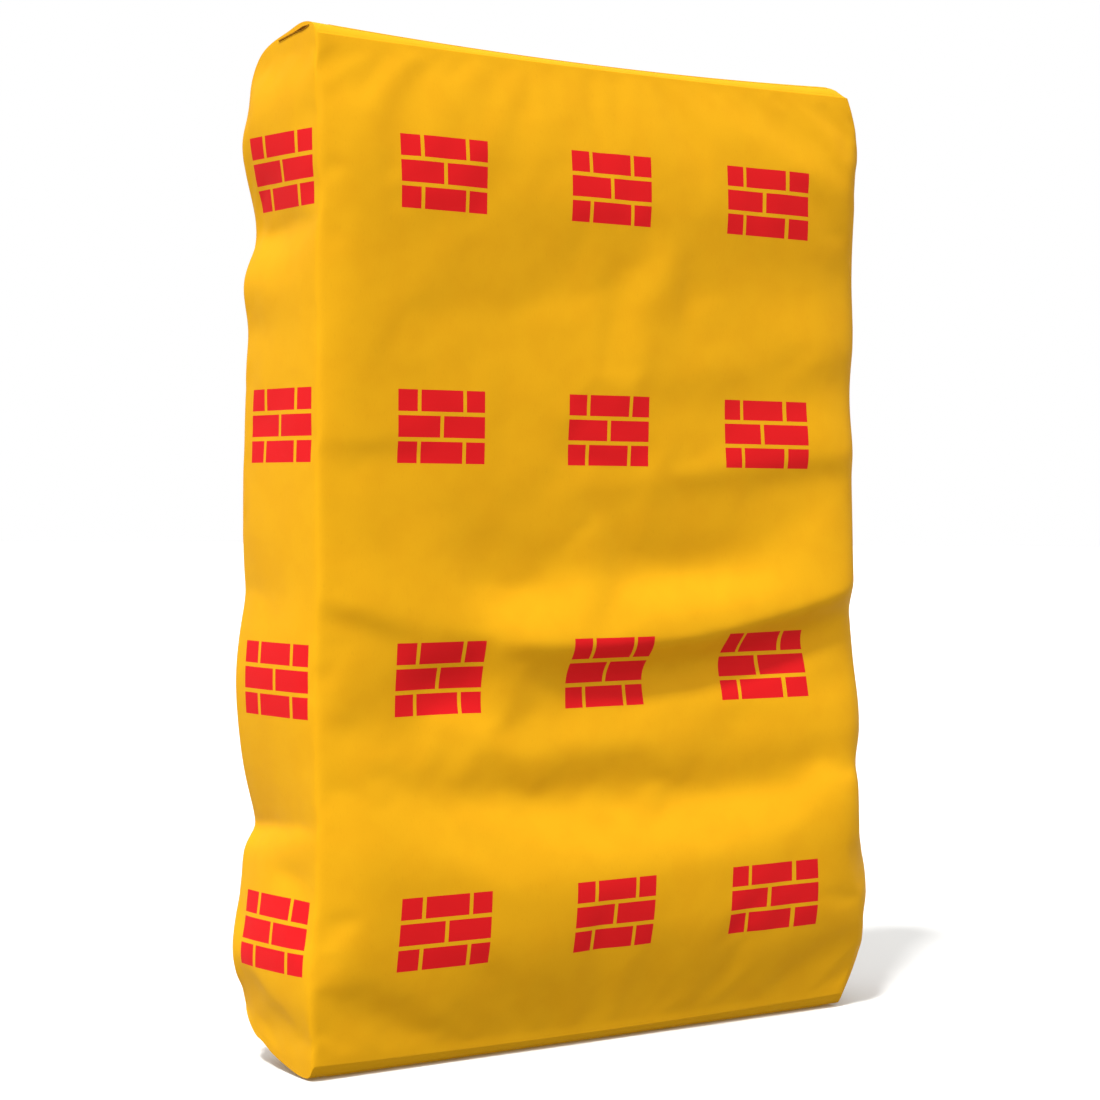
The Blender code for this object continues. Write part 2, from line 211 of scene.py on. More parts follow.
FOLDS: dict[Face, tuple[Fold, ...]] = {
    Face.FRONT: (
        # shoulder under the top crease, and the shallow step that ends it
        Fold(0.000, 0.545, 0.250, 0.050, 0.038, 0.0040),
        Fold(0.010, 0.508, 0.190, 0.024, 0.036, 0.0026, crease=0.3),
        Fold(0.200, 0.450, 0.085, 0.070, 0.100, -0.0070),
        Fold(-0.065, 0.486, 0.045, 0.036, 0.036, -0.0014),
        # left flank, which stays full from shoulder to belly
        Fold(-0.150, 0.400, 0.060, 0.130, 0.130, 0.0024),
        Fold(-0.148, 0.366, 0.040, 0.060, 0.024, -0.0020),
        Fold(-0.165, 0.364, 0.050, 0.018, 0.005, 0.0012, crease=0.3),
        # bumps and dents of the upper half
        Fold(0.036, 0.459, 0.022, 0.026, 0.032, 0.0038, slope=0.5),
        Fold(0.080, 0.412, 0.130, 0.030, 0.020, 0.0050, slope=0.16, bow=0.40),
        Fold(0.118, 0.356, 0.130, 0.026, 0.013, 0.0042, slope=0.12, crease=0.2),
        Fold(0.045, 0.287, 0.095, 0.023, 0.017, -0.0070, tail=0.55),
        Fold(-0.060, 0.276, 0.046, 0.040, 0.026, -0.0076),
        # the great fold that hangs over across the lower middle, rising to the right
        Fold(0.080, 0.249, 0.160, 0.040, 0.010, 0.0112, slope=0.15, bow=0.95, crease=0.4, tail=1.02),
        Fold(0.090, 0.230, 0.130, 0.010, 0.014, -0.0030, slope=0.15, bow=0.95),
        Fold(-0.074, 0.246, 0.060, 0.034, 0.022, 0.0044),
        Fold(-0.112, 0.220, 0.030, 0.024, 0.022, -0.0052),
        Fold(-0.180, 0.270, 0.045, 0.022, 0.008, 0.0026, slope=-0.30),
        # roll between that fold and the belly
        Fold(0.040, 0.178, 0.190, 0.018, 0.024, 0.0032),
        Fold(0.160, 0.196, 0.055, 0.018, 0.045, 0.0030),
        Fold(0.030, 0.150, 0.170, 0.014, 0.014, -0.0024, bow=0.35),
        # belly over the bottom end
        Fold(0.015, 0.101, 0.240, 0.034, 0.062, 0.0130, bow=0.38, tail=0.82),
        Fold(-0.155, 0.134, 0.055, 0.030, 0.026, 0.0026, slope=-0.14),
        Fold(0.184, 0.146, 0.044, 0.016, 0.028, 0.0070),
        Fold(0.010, 0.064, 0.045, 0.030, 0.034, -0.0018),
        Fold(0.060, 0.044, 0.190, 0.030, 0.026, 0.0032),
    ),
    Face.BACK: (
        Fold(0.020, 0.500, 0.170, 0.036, 0.040, 0.0030),
        Fold(-0.050, 0.432, 0.120, 0.016, 0.022, -0.0030, slope=0.10),
        Fold(0.040, 0.300, 0.160, 0.040, 0.018, 0.0040, slope=-0.08),
        Fold(0.020, 0.236, 0.150, 0.016, 0.024, -0.0046, slope=-0.08),
        Fold(0.000, 0.110, 0.210, 0.044, 0.052, 0.0060),
    ),
    Face.LEFT: (
        # they fade towards the straight front edge
        Fold(0.040, 0.550, 0.060, 0.030, 0.044, 0.0036),
        # notch under the top, drawn in by the folded ear above it
        Fold(0.040, 0.486, 0.058, 0.034, 0.018, -0.0078, slope=-0.10),
        Fold(0.040, 0.455, 0.058, 0.016, 0.020, 0.0018),
        Fold(0.040, 0.432, 0.058, 0.016, 0.020, -0.0024),
        Fold(0.040, 0.314, 0.058, 0.040, 0.020, 0.0022),
        Fold(0.040, 0.275, 0.058, 0.012, 0.014, -0.0014),
        Fold(0.040, 0.224, 0.064, 0.040, 0.050, 0.0056),
        # pinch between that swell and the belly
        Fold(0.040, 0.138, 0.056, 0.026, 0.009, -0.0086, slope=-0.10, crease=0.5),
        Fold(0.030, 0.062, 0.080, 0.036, 0.038, 0.0068),
    ),
    Face.RIGHT: (
        Fold(0.000, 0.545, 0.060, 0.050, 0.050, 0.0020),
        Fold(0.000, 0.444, 0.060, 0.080, 0.080, 0.0094),
        Fold(0.000, 0.336, 0.060, 0.050, 0.050, 0.0056),
        Fold(-0.010, 0.256, 0.060, 0.014, 0.016, 0.0012),
        Fold(0.000, 0.190, 0.060, 0.050, 0.040, 0.0096),
        Fold(0.000, 0.066, 0.070, 0.052, 0.052, 0.0144),
    ),
}


def clustered(count: int, run: float, share: float) -> Array:
    """Stations from 0 to 1 that lie closer together near both ends.

    Args:
        count: Number of steps.
        run: Part of the way, at each end, over which the steps widen.
        share: Length of the end steps, as a share of the middle ones.

    Returns:
        The stations, count + 1 of them.
    """
    middle = (np.arange(count) + 0.5) / count
    near_end = np.exp(-middle / run) + np.exp(-(1.0 - middle) / run)
    steps = 1.0 - (1.0 - share) * near_end
    stations = np.concatenate([[0.0], np.cumsum(steps)])
    return stations / stations[-1]


def smooth_through(places: Array, known: tuple[float, ...], values: tuple[float, ...]) -> Array:
    """A smooth curve through known points that doesn't swing past them.

    Args:
        places: Where the curve is read.
        known: Places of the known points, rising.
        values: Their values.

    Returns:
        The curve's value at each place.
    """
    x, y = np.array(known), np.array(values)
    step = np.diff(x)
    slope = np.diff(y) / step
    tangent = np.zeros_like(y)
    both = slope[:-1] * slope[1:] > 0
    tangent[1:-1][both] = 2 * slope[:-1][both] * slope[1:][both] / (slope[:-1] + slope[1:])[both]
    tangent[0], tangent[-1] = slope[0], slope[-1]
    i = np.clip(np.searchsorted(x, places) - 1, 0, len(step) - 1)
    t = (places - x[i]) / step[i]
    rise = (1 + 2 * t) * (1 - t) ** 2 * y[i] + t * t * (3 - 2 * t) * y[i + 1]
    return rise + step[i] * (t * (1 - t) ** 2 * tangent[i] + t * t * (t - 1) * tangent[i + 1])


def rising(places: Array, start: float, end: float) -> Array:
    """A smooth step from 0 at the start to 1 at the end."""
    t = np.clip((places - start) / (end - start), 0.0, 1.0)
    return t * t * (3.0 - 2.0 * t)


@dataclass(frozen=True)
class SackForm:
    """The shape of the filled sack as a rule: a rounded block between two folded ends, with its folds."""

    stand_x: float = -0.0091
    stand_y: float = 0.0034
    width: float = 0.402
    depth: float = 0.080
    top_crease: float = 0.5932
    bottom_crease: float = 0.0092
    folded_radius: float = 0.002
    left_radius: float = 0.004
    right_radius: float = 0.020
    radius_reach: float = 0.060
    end_depths: tuple[float, ...] = (0.0, 0.005, 0.015, 0.032, 0.047, 0.061, 0.072, 0.080)
    top_rise: tuple[float, ...] = (0.0, 0.0068, 0.0083, 0.0048, 0.0018, -0.0032, -0.0150, -0.0360)
    bottom_rise: tuple[float, ...] = (0.0, -0.0078, -0.0086, -0.0086, -0.0086, -0.0086, 0.0000, 0.0190)
    corner_lift: tuple[float, ...] = (0.0, 0.0, 0.0008, 0.0044, 0.0086, 0.0144, 0.0130, 0.0030)
    corner_start: float = 0.150
    top_corner_drop: tuple[float, ...] = (0.0, 0.0064, 0.0078, 0.0060, 0.0036, 0.0, 0.0, 0.0)
    top_corner_start: float = 0.193
    top_crease_sag: float = 0.0016
    top_crown_sag: float = 0.0034
    bottom_crease_sag: float = 0.0025
    front_swell: float = 0.006
    back_swell: float = 0.006
    left_swell: float = 0.0008
    right_swell: float = 0.0114
    face_reach: float = 0.070
    side_reach: float = 0.045
    edge_reach: float = 0.090
    left_ease: float = 0.55
    left_ease_reach: float = 0.040
    right_ease: float = 0.55
    right_ease_reach: float = 0.040
    right_fall: Fold = Fold(0.000, 0.360, 1.000, 0.200, 0.140, 0.0055)
    curve_steps: int = 400
    depth_cluster: tuple[float, float] = (0.08, 0.45)

    def from_end(self, share: float) -> float:
        """Distance from the nearer end's crease at a share of the height."""
        return min(share, 1.0 - share) * (self.top_crease - self.bottom_crease)

    def radius(self, x: Array, share: float) -> Array:
        """Radius of the nearer upright edges, which are sharp at the folded ends.

        Args:
            x: Places across the width, from the middle.
            share: Share of the sack's height at which they lie.

        Returns:
            The radius at each place.
        """
        middle = np.where(x < 0.0, self.left_radius, self.right_radius)
        grown = rising(self.from_end(share), 0.0, self.radius_reach)
        return self.folded_radius + (middle - self.folded_radius) * grown

    def rounded(self, x: Array, y: Array, share: float) -> tuple[Array, Array]:
        """Moves points of the square outline, or inside it, to the outline with rounded corners.

        Args:
            x: Places across the width, from the middle.
            y: Places through the depth, from the middle.
            share: Share of the sack's height at which they lie.

        Returns:
            The new places, across and through.
        """
        in_x, in_y = self.width / 2 - self.radius(x, share), self.depth / 2 - self.radius(x, share)
        centre_x, centre_y = np.clip(x, -in_x, in_x), np.clip(y, -in_y, in_y)
        out_x, out_y = x - centre_x, y - centre_y
        length = np.maximum(np.hypot(out_x, out_y), TINY)
        radius = np.maximum(np.abs(out_x), np.abs(out_y))
        return centre_x + out_x / length * radius, centre_y + out_y / length * radius

    def end_height(self, x: Array, deep: Array, end: End) -> Array:
        """How high a folded end lies.

        Args:
            x: Places across the width, from the middle.
            deep: Depths of the same places, from the front crease.
            end: Which end it is.

        Returns:
            The height of each place.
        """
        half = self.width / 2
        middle = 1.0 - (x / half) ** 2
        past_crease = np.clip(deep / self.end_depths[1], 0.0, 1.0)
        if end is End.TOP:
            sag = self.top_crease_sag + self.top_crown_sag * past_crease
            to_corner = np.clip((x - self.top_corner_start) / (half - self.top_corner_start), 0.0, 1.0)
            drop = smooth_through(deep, self.end_depths, self.top_corner_drop) * to_corner
            rise = smooth_through(deep, self.end_depths, self.top_rise)
            return self.top_crease + rise - drop - sag * middle
        sag = self.bottom_crease_sag * (1.0 - past_crease)
        to_corner = np.clip((np.abs(x) - self.corner_start) / (half - self.corner_start), 0.0, 1.0)
        lift = smooth_through(deep, self.end_depths, self.corner_lift) * to_corner**2
        rise = smooth_through(deep, self.end_depths, self.bottom_rise)
        return self.bottom_crease + rise + lift - sag * middle

    def swelled(self, x: Array, y: Array, height: Array, share: float) -> tuple[Array, Array]:
        """Moves points of the outline out by the swell and the folds of the faces on or near them.

        Args:
            x: Places across the width, from the middle.
            y: Places through the depth, from the middle.
            height: Their heights.
            share: Share of the sack's height at which they lie.

        Returns:
            The new places, across and through.
        """
        places = {Face.FRONT: x, Face.BACK: x, Face.LEFT: y, Face.RIGHT: y}
        swells = (self.front_swell, self.back_swell, self.left_swell, self.right_swell)
        front, back, left, right = (
            swell + sum(fold.lift_at(places[face], height) for fold in FOLDS[face])
            for face, swell in zip(Face, swells))
        half, corner = self.width / 2, self.radius(x, 0.5)
        to_side = rising(np.abs(x), half - self.edge_reach, half - corner)
        to_face = rising(np.abs(y), 0.0, self.depth / 2 - corner)
        near_left = np.clip(1.0 - (half + x) / self.left_ease_reach, 0.0, 1.0)
        near_right = np.clip(1.0 - (half - x) / self.right_ease_reach, 0.0, 1.0)
        ease = 1.0 - self.left_ease * near_left**2 - self.right_ease * near_right**2
        fall = self.right_fall.lift_at(np.zeros_like(x), height) * near_right**2
        side_fade, face_fade = (math.sin(math.pi / 2 * min(1.0, self.from_end(share) / reach))
                                for reach in (self.side_reach, self.face_reach))
        across = np.where(x < 0.0, -left, right) * to_side * side_fade
        deep = np.where(y < 0.0, fall - front * ease, back * ease - fall) * to_face * face_fade
        return x + across, y + deep

    def depth_stations(self, count: int) -> Array:
        """Depths from front to back at clustered steps along the curve of the top end.

        Args:
            count: Number of steps.

        Returns:
            The depths, count + 1 of them.
        """
        fine = np.linspace(0.0, self.depth, self.curve_steps)
        rise = smooth_through(fine, self.end_depths, self.top_rise)
        run = np.concatenate([[0.0], np.cumsum(np.hypot(np.diff(fine), np.diff(rise)))])
        return np.interp(clustered(count, *self.depth_cluster) * run[-1], run, fine)


@dataclass
class ShellGrid:
    """A closed grid of quads over the sack's form, with the place of each corner on the flat paper."""

    form: SackForm
    rows: int
    across: int
    deep: int
    inset: float = 0.0
    crispness: float = 0.9
    width_cluster: tuple[float, float] = (0.03, 0.35)
    row_cluster: tuple[float, float] = (0.02, 0.35)
    xs: Array = field(init=False)
    ys: Array = field(init=False)
    faces: list[tuple[int, int, int, int]] = field(default_factory=list)
    flat: list[list[tuple[float, float]]] = field(default_factory=list)

    def __post_init__(self) -> None:
        """Sets the stations across the width and through the depth."""
        self.xs = (clustered(self.across, *self.width_cluster) - 0.5) * self.form.width
        self.ys = self.form.depth_stations(self.deep)

    def outline(self) -> tuple[Array, Array, list[tuple[int, int]]]:
        """Square outline, counter-clockwise from the front left.

        Returns:
            Places across, depths, and the station numbers of each point.
        """
        last_x, last_y = self.across, self.deep
        keys = [(i, 0) for i in range(last_x)] + [(last_x, j) for j in range(last_y)]
        keys += [(i, last_y) for i in range(last_x, 0, -1)] + [(0, j) for j in range(last_y, 0, -1)]
        return np.array([self.xs[i] for i, _ in keys]), np.array([self.ys[j] for _, j in keys]), keys

    def build(self, name: str) -> bpy.types.Object:
        """Makes the closed shell.

        Args:
            name: The object's name.

        Returns:
            A mesh object, with its flat paper map.
        """
        form = self.form
        square_x, deep, keys = self.outline()
        bottom = form.end_height(square_x, deep, End.BOTTOM)
        top = form.end_height(square_x, deep, End.TOP)
        rings = []
        for share in clustered(self.rows, *self.row_cluster):
            height = bottom + (top - bottom) * share
            x, y = form.rounded(square_x, deep - form.depth / 2, share)
            ring_x, ring_y = form.swelled(x, y, height, share)
            rings.append(np.stack([ring_x, ring_y, height], axis=1))
        count = len(keys)
        verts = list(np.concatenate(rings))
        steps = np.hypot(np.diff(x, append=x[0]), np.diff(y, append=y[0]))
        around = np.concatenate([[0.0], np.cumsum(steps)]) - form.width / 2
        for row in range(self.rows):
            for k in range(count):
                nxt = (k + 1) % count
                corners = ((row, k, k), (row, nxt, k + 1), (row + 1, nxt, k + 1), (row + 1, k, k))
                self.faces.append(tuple(r * count + n for r, n, _ in corners))
                self.flat.append([(around[a], rings[r][n][2]) for r, n, a in corners])
        for end, first in ((End.BOTTOM, 0), (End.TOP, self.rows * count)):
            self.close_end(verts, {key: first + n for n, key in enumerate(keys)}, end)
        return self.to_object(name, np.array(verts))

    def close_end(self, verts: list[Array], numbers: dict[tuple[int, int], int], end: End) -> None:
        """Fills one end with a grid of faces on the ring that bounds it.

        Args:
            verts: Points so far, which the end's own points are added to.
            numbers: Point number of each place of the ring, by station numbers.
            end: Which end it is.
        """
        form = self.form
        for i in range(1, self.across):
            for j in range(1, self.deep):
                square_x, deep = np.array([self.xs[i]]), np.array([self.ys[j]])
                x, y = form.rounded(square_x, deep - form.depth / 2, 0.0)
                height = form.end_height(square_x, deep, end)
                numbers[i, j] = len(verts)
                verts.append(np.array([x[0], y[0], height[0]]))
        side = 1 if end is End.TOP else -1
        for i in range(self.across):
            for j in range(self.deep):
                corners = [(i, j), (i + 1, j), (i + 1, j + 1), (i, j + 1)][::side]
                self.faces.append(tuple(numbers[c] for c in corners))
                beyond = form.top_crease if end is End.TOP else form.bottom_crease
                self.flat.append([(self.xs[a], beyond + side * self.ys[b]) for a, b in corners])

    def to_object(self, name: str, verts: Array) -> bpy.types.Object:
        """Writes points, faces and the flat paper map to a new mesh object.

        Args:
            name: The object's name.
            verts: The points, one row each, around the sack's own middle.

        Returns:
            The object, smooth all over but for the folds round its ends.
        """
        mesh = bpy.data.meshes.new(name)
        verts = verts + (self.form.stand_x, self.form.stand_y, 0.0)
        mesh.from_pydata(verts.tolist(), [], self.faces)
        layer = mesh.uv_layers.new(name=PAPER_MAP)
        layer.data.foreach_set("uv", np.array(self.flat, np.float32).reshape(-1))
        mesh.shade_smooth()
        self.crease_ends(mesh)
        made = placed(name, mesh)
        if self.inset:
            write_points(mesh, rows_of(mesh.vertices) - rows_of(mesh.vertex_normals, "vector") * self.inset)
        return made

    def crease_ends(self, mesh: bpy.types.Mesh) -> None:
        """Keeps the folds round both ends crisp when the mesh is subdivided.

        Args:
            mesh: The shell's mesh.
        """
        edges = np.empty(len(mesh.edges) * 2, np.int32)
        mesh.edges.foreach_get("vertices", edges)
        around = 2 * (self.across + self.deep)
        ring = edges.reshape(-1, 2) // around
        folded = (ring[:, 0] == ring[:, 1]) & ((ring[:, 0] == 0) | (ring[:, 0] == self.rows))
        creases = mesh.attributes.new("crease_edge", "FLOAT", "EDGE")
        creases.data.foreach_set("value", np.where(folded, self.crispness, 0.0))
        mesh.attributes.new("sharp_edge", "BOOLEAN", "EDGE").data.foreach_set("value", folded)


def rows_of(items: bpy.types.bpy_prop_collection, what: str = "co") -> Array:
    """Reads three numbers of every item.

    Args:
        items: The points of a mesh, or the normals at them.
        what: The property that holds the numbers.

    Returns:
        The numbers, one row for each item.
    """
    rows = np.empty(len(items) * 3, np.float32)
    items.foreach_get(what, rows)
    return rows.reshape(-1, 3).astype(float)


def write_points(mesh: bpy.types.Mesh, points: Array) -> None:
    """Moves every point of a mesh to its row."""
    mesh.vertices.foreach_set("co", points.astype(np.float32).reshape(-1))
    mesh.update()


def placed(name: str, data: bpy.types.ID) -> bpy.types.Object:
    """Makes an object and puts it in the scene.

    Args:
        name: The object's name.
        data: Its mesh, camera or lamp.

    Returns:
        The object, at the origin.
    """
    made = bpy.data.objects.new(name, data)
    bpy.context.scene.collection.objects.link(made)
    return made


def settle(obj: bpy.types.Object) -> None:
    """Turns an object's modifiers into its plain mesh and removes them.

    Args:
        obj: The mesh object.
    """
    depsgraph = bpy.context.evaluated_depsgraph_get()
    mesh = bpy.data.meshes.new_from_object(obj.evaluated_get(depsgraph), depsgraph=depsgraph)
    obj.modifiers.clear()
    old, obj.data = obj.data, mesh
    bpy.data.meshes.remove(old)
    mesh.name = obj.name


@dataclass(frozen=True)
class BrickMotif:
    """A small patch of brickwork in running bond, printed again and again in straight columns and rows."""

    brick_length: float = 0.0310
    course: float = 0.0150
    joint: float = 0.0024
    column_pitch: float = 0.1205
    row_pitch: float = 0.146
    first_row: float = 0.081
    courses: int = 3

    def ink_on(self, tree: Tree) -> Socket:
        """Where the motif's ink lies.

        Args:
            tree: The paper's node tree.

        Returns:
            A socket that is 1 on the ink and 0 beside it.
        """
        half_column, half_row = self.column_pitch / 2, self.row_pitch / 2
        half_height = self.courses * self.course / 2
        at = work_out(tree, paper_place(tree), (
            ("along", "WRAP", "across", half_column, -half_column),
            ("above", "SUBTRACT", "height", self.first_row),
            ("up", "WRAP", "above", half_row, -half_row),
            ("brick_x", "ADD", "along", self.brick_length),
            ("brick_y", "ADD", "up", half_height),
            ("aside", "ABSOLUTE", "along"),
            ("off_row", "ABSOLUTE", "up"),
            ("in_width", "LESS_THAN", "aside", self.brick_length - self.joint / 2),
            ("in_height", "LESS_THAN", "off_row", half_height),
            ("inside", "MULTIPLY", "in_width", "in_height")))
        place = add_node(tree, "ShaderNodeCombineXYZ", inputs={"X": at["brick_x"], "Y": at["brick_y"]})
        bricks = add_node(tree, "ShaderNodeTexBrick", inputs={
            "Vector": place.outputs["Vector"], "Scale": 1.0, "Mortar Size": self.joint / 2,
            "Mortar Smooth": 0.0, "Brick Width": self.brick_length, "Row Height": self.course})
        return work_out(tree, {"inside": at["inside"], "joints": bricks.outputs["Fac"]}, (
            ("brick", "SUBTRACT", 1.0, "joints"),
            ("ink", "MULTIPLY", "inside", "brick")))["ink"]


@dataclass(frozen=True)
class SackSeams:
    """Edges of the paper's own laps: the pasted seam down the back and the flaps folded over the ends."""

    seam: float = 0.466
    lap: float = 0.030
    edge: float = 0.0006
    hidden_edge: float = 0.0048
    crease_margin: float = 0.001
    half_width: float = SackForm.width / 2
    depth: float = SackForm.depth
    top_crease: float = SackForm.top_crease
    bottom_crease: float = SackForm.bottom_crease

    def relief_on(self, tree: Tree) -> Socket:
        """How high the laps lie.

        Args:
            tree: The paper's node tree.

        Returns:
            A socket that is 0 on single paper and 1 on lapped paper.
        """
        lap_start = self.seam - self.lap
        return work_out(tree, paper_place(tree), (
            ("lap_rises", "SMOOTHSTEP", "across", lap_start, lap_start + self.hidden_edge),
            ("lap_ends", "SMOOTHSTEP", "across", self.seam, self.seam + self.edge),
            ("before_end", "SUBTRACT", 1.0, "lap_ends"),
            ("seam", "MULTIPLY", "lap_rises", "before_end"),
            ("past_top", "SUBTRACT", "height", self.top_crease),
            ("past_bottom", "SUBTRACT", self.bottom_crease, "height"),
            ("deep", "MAXIMUM", "past_top", "past_bottom"),
            ("from_back", "SUBTRACT", self.depth, "deep"),
            ("to_crease", "MINIMUM", "deep", "from_back"),
            ("aside", "ABSOLUTE", "across"),
            ("to_side", "SUBTRACT", self.half_width, "aside"),
            ("over_mitre", "SUBTRACT", "to_side", "to_crease"),
            ("flap", "SMOOTHSTEP", "over_mitre", 0.0, self.edge),
            ("on_end", "GREATER_THAN", "to_crease", self.crease_margin),
            ("beside", "GREATER_THAN", "to_side", 0.0),
            ("on_flap", "MULTIPLY", "on_end", "beside"),
            ("folded", "MULTIPLY", "flap", "on_flap"),
            ("lapped", "ADD", "seam", "folded")))["lapped"]


@dataclass(frozen=True)
class Pattern:
    """A random pattern of a real size, and the two strengths between which it starts to show."""

    size_mm: float
    detail: float = 3.0
    rough: float = 0.5
    shows: tuple[float, float] = (0.0, 1.0)

    def strength_on(self, tree: Tree, place: Socket) -> Socket:
        """How strong the pattern is at each place.

        Args:
            tree: The material's node tree.
            place: The coordinates that the pattern is laid on.

        Returns:
            The strength, from 0 to 1.
        """
        return add_node(tree, "ShaderNodeTexNoise", inputs={
            "Vector": place, "Scale": 1.0 / (self.size_mm * MM), "Detail": self.detail,
            "Roughness": self.rough}).outputs["Fac"]


class Surface(NamedTuple):
    """What a finish gives its material: colour, roughness, and heights with their depths in metres."""

    colour: Socket
    roughness: Socket | float
    reliefs: tuple[tuple[Socket, float], ...]


@dataclass(frozen=True)
class Finish:
    """What the finishes share: a material on Object coordinates, with its colour, gloss and relief."""

    name: str
    roughness: float
    sheen_level: float

    def make(self) -> bpy.types.Material:
        """Builds the material.

        Returns:
            The material, which reads Object coordinates, and for motifs and laps the flat paper map.
        """
        material = bpy.data.materials.new(self.name)
        material.use_nodes = True
        tree = material.node_tree
        shader = tree.nodes["Principled BSDF"]
        surface = self.surface_on(tree, add_node(tree, "ShaderNodeTexCoord").outputs["Object"])
        tree.links.new(surface.colour, shader.inputs["Base Color"])
        if isinstance(surface.roughness, Socket):
            tree.links.new(surface.roughness, shader.inputs["Roughness"])
        else:
            shader.inputs["Roughness"].default_value = surface.roughness
        shader.inputs["Specular IOR Level"].default_value = self.sheen_level
        under = {}
        for height, depth in surface.reliefs:
            given = {"Height": height, "Distance": depth, "Strength": 1.0} | under
            under = {"Normal": add_node(tree, "ShaderNodeBump", inputs=given).outputs["Normal"]}
        tree.links.new(under["Normal"], shader.inputs["Normal"])
        return material

    def surface_on(self, tree: Tree, place: Socket) -> Surface:
        """Colour, roughness and relief of the finish.

        Args:
            tree: The material's node tree.
            place: Object coordinates.

        Returns:
            What the shader gets.
        """
        raise NotImplementedError


@dataclass(frozen=True)
class PrintedKraftPaper(Finish):
    """Kraft paper flooded with golden yellow ink on a printing press and rolled smooth.

    The ink lies a little thick and thin in soft clouds, and the fibre under it shows as fine flecks along
    the web, so the yellow is even from afar and lively close by. It is matte, with a faint satin sheen.
    """

    name: str = "printed_kraft_paper"
    ground: str = "#E7A812"
    thin_ink: str = "#E5A511"
    fleck: str = "#D69812"
    motif_ink: str = "#DF1B1F"
    clouds: Pattern = Pattern(22.0, detail=2.0, shows=(0.38, 0.66))
    # real fibre is finer; it is drawn as coarse as a close view can still show, 3.6 mm along the web and
    # a quarter of that across it
    fibre: Pattern = Pattern(3.6, rough=0.6, shows=(0.56, 0.80))
    fibre_stretch: float = 4.0
    cockle: Pattern = Pattern(16.0, detail=1.0, rough=0.4)
    fleck_cover: float = 0.3
    fleck_roughness: float = 0.2
    cockle_depth: float = 0.00022
    lap_depth: float = 0.00018
    fibre_depth: float = 0.00003
    roughness: float = 0.58
    sheen_level: float = 0.07

    def surface_on(self, tree: Tree, place: Socket) -> Surface:
        """Ink clouds and fibre flecks under the motif, with cockles, fibre and the edges of the laps.

        Args:
            tree: The material's node tree.
            place: Object coordinates.

        Returns:
            What the shader gets.
        """
        web = add_node(tree, "ShaderNodeMapping", inputs={
            "Vector": place, "Scale": (self.fibre_stretch, self.fibre_stretch, 1.0)}).outputs["Vector"]
        clouds, fibre = self.clouds.strength_on(tree, place), self.fibre.strength_on(tree, web)
        at = work_out(tree, {"clouds": clouds, "fibre": fibre}, (
            ("thin", "SMOOTHSTEP", "clouds", *self.clouds.shows),
            ("fibres", "SMOOTHSTEP", "fibre", *self.fibre.shows),
            ("flecks", "MULTIPLY", "fibres", self.fleck_cover),
            ("rougher", "MULTIPLY", "flecks", self.fleck_roughness),
            ("roughness", "ADD", self.roughness, "rougher")))
        colour = layered(tree, self.ground, (
            (at["thin"], self.thin_ink), (at["flecks"], self.fleck),
            (BrickMotif().ink_on(tree), self.motif_ink)))
        return Surface(colour, at["roughness"], (
            (self.cockle.strength_on(tree, place), self.cockle_depth), (fibre, self.fibre_depth),
            (SackSeams().relief_on(tree), self.lap_depth)))


@dataclass(frozen=True)
class PatchPaper(Finish):
    """Kraft paper strip printed in the same golden yellow without motifs, brushed down with paste.

    The paste draws it into soft ripples along its length, and it is as matte as the sack.
    """

    name: str = "pasted_kraft_strip"
    ground: str = "#EAAA14"
    thin_ink: str = "#E3A110"
    clouds: Pattern = Pattern(14.0, shows=(0.36, 0.66))
    ripples: Pattern = Pattern(9.0, detail=1.0)
    cloud_roughness: float = 0.04
    ripple_depth: float = 0.00012
    roughness: float = 0.60
    sheen_level: float = 0.07

    def surface_on(self, tree: Tree, place: Socket) -> Surface:
        """Ink clouds and ripples of the paste.

        Args:
            tree: The material's node tree.
            place: Object coordinates.

        Returns:
            What the shader gets.
        """
        at = work_out(tree, {"clouds": self.clouds.strength_on(tree, place)}, (
            ("thin", "SMOOTHSTEP", "clouds", *self.clouds.shows),
            ("rougher", "MULTIPLY", "thin", self.cloud_roughness),
            ("roughness", "ADD", self.roughness, "rougher")))
        return Surface(layered(tree, self.ground, ((at["thin"], self.thin_ink),)), at["roughness"],
                       ((self.ripples.strength_on(tree, place), self.ripple_depth),))


@dataclass(frozen=True)
class DyedKraftPaper(Finish):
    """Sack kraft dyed dull yellow in the pulp and left unprinted: matte, flecked with darker fibre."""

    name: str = "dyed_kraft_paper"
    ground: str = "#C98C1E"
    fleck: str = "#9A6A18"
    fibre: Pattern = Pattern(0.8, rough=0.6, shows=(0.40, 0.75))
    fibre_depth: float = 0.00003
    roughness: float = 0.78
    sheen_level: float = 0.12

    def surface_on(self, tree: Tree, place: Socket) -> Surface:
        """Darker fibres, which stand out a little.

        Args:
            tree: The material's node tree.
            place: Object coordinates.

        Returns:
            What the shader gets.
        """
        fibre = self.fibre.strength_on(tree, place)
        shown = work_out(tree, {"fibre": fibre}, (("flecks", "SMOOTHSTEP", "fibre", *self.fibre.shows),))
        colour = layered(tree, self.ground, ((shown["flecks"], self.fleck),))
        return Surface(colour, self.roughness, ((fibre, self.fibre_depth),))


